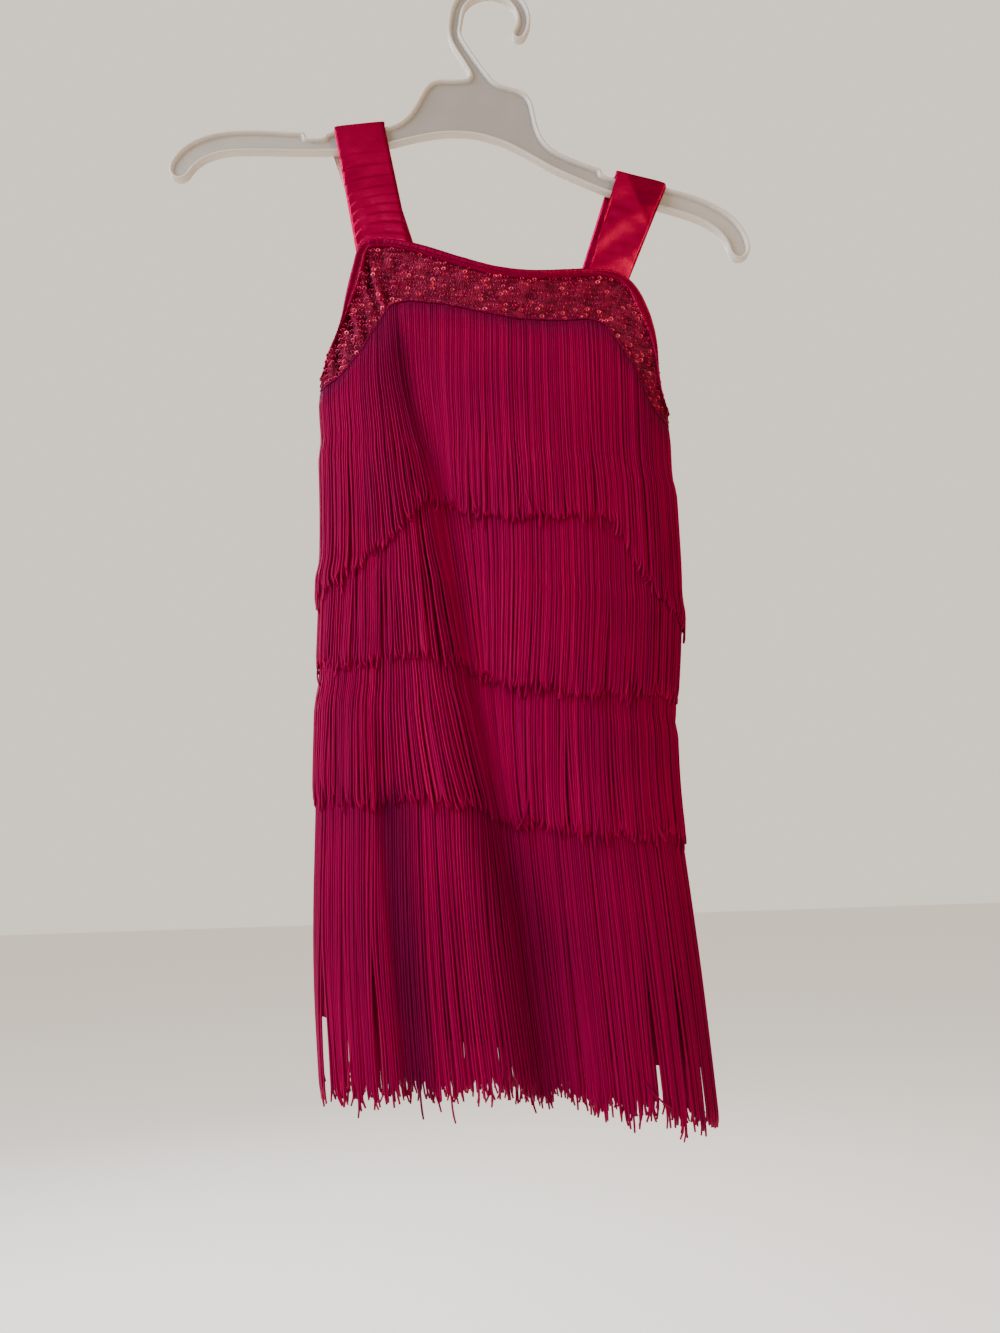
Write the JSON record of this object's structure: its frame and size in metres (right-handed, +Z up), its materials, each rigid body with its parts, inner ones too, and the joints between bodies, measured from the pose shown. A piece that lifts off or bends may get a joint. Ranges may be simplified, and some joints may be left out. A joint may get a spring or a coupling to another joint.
{
  "type": "fringed dance dress on a hanger",
  "caption": "Child's sleeveless dance dress with overlapping rows of chainette fringe, a sequinned yoke and wide satin straps, hanging on a frosted plastic hanger.",
  "frame": {"origin": "the highest point inside the hanger's hook, where it rests on a rod", "axes": "+Z up, the front of the dress faces -Y, +X to the right of a person who looks at the front"},
  "size_m": [0.4254, 0.0807, 0.8299],
  "materials": {
    "plastic": "frosted, translucent",
    "satin": "satin",
    "sequins": "mesh with glossy sequins",
    "knit": "matt stretch knit",
    "yarn": "silky chainette"
  },
  "bodies": {
    "root": {"hanger": "plastic", "strap_left": "satin", "strap_right": "satin", "binding_front": "satin", "binding_back": "satin", "yoke_front": "sequins", "front_panel": "knit", "back_panel": "knit", "fringe_front_1": "yarn", "fringe_front_2": "yarn", "fringe_front_3": "yarn", "fringe_front_4": "yarn", "fringe_back_1": "yarn", "fringe_back_2": "yarn", "fringe_back_3": "yarn", "fringe_back_4": "yarn"}
  },
  "joints": []
}
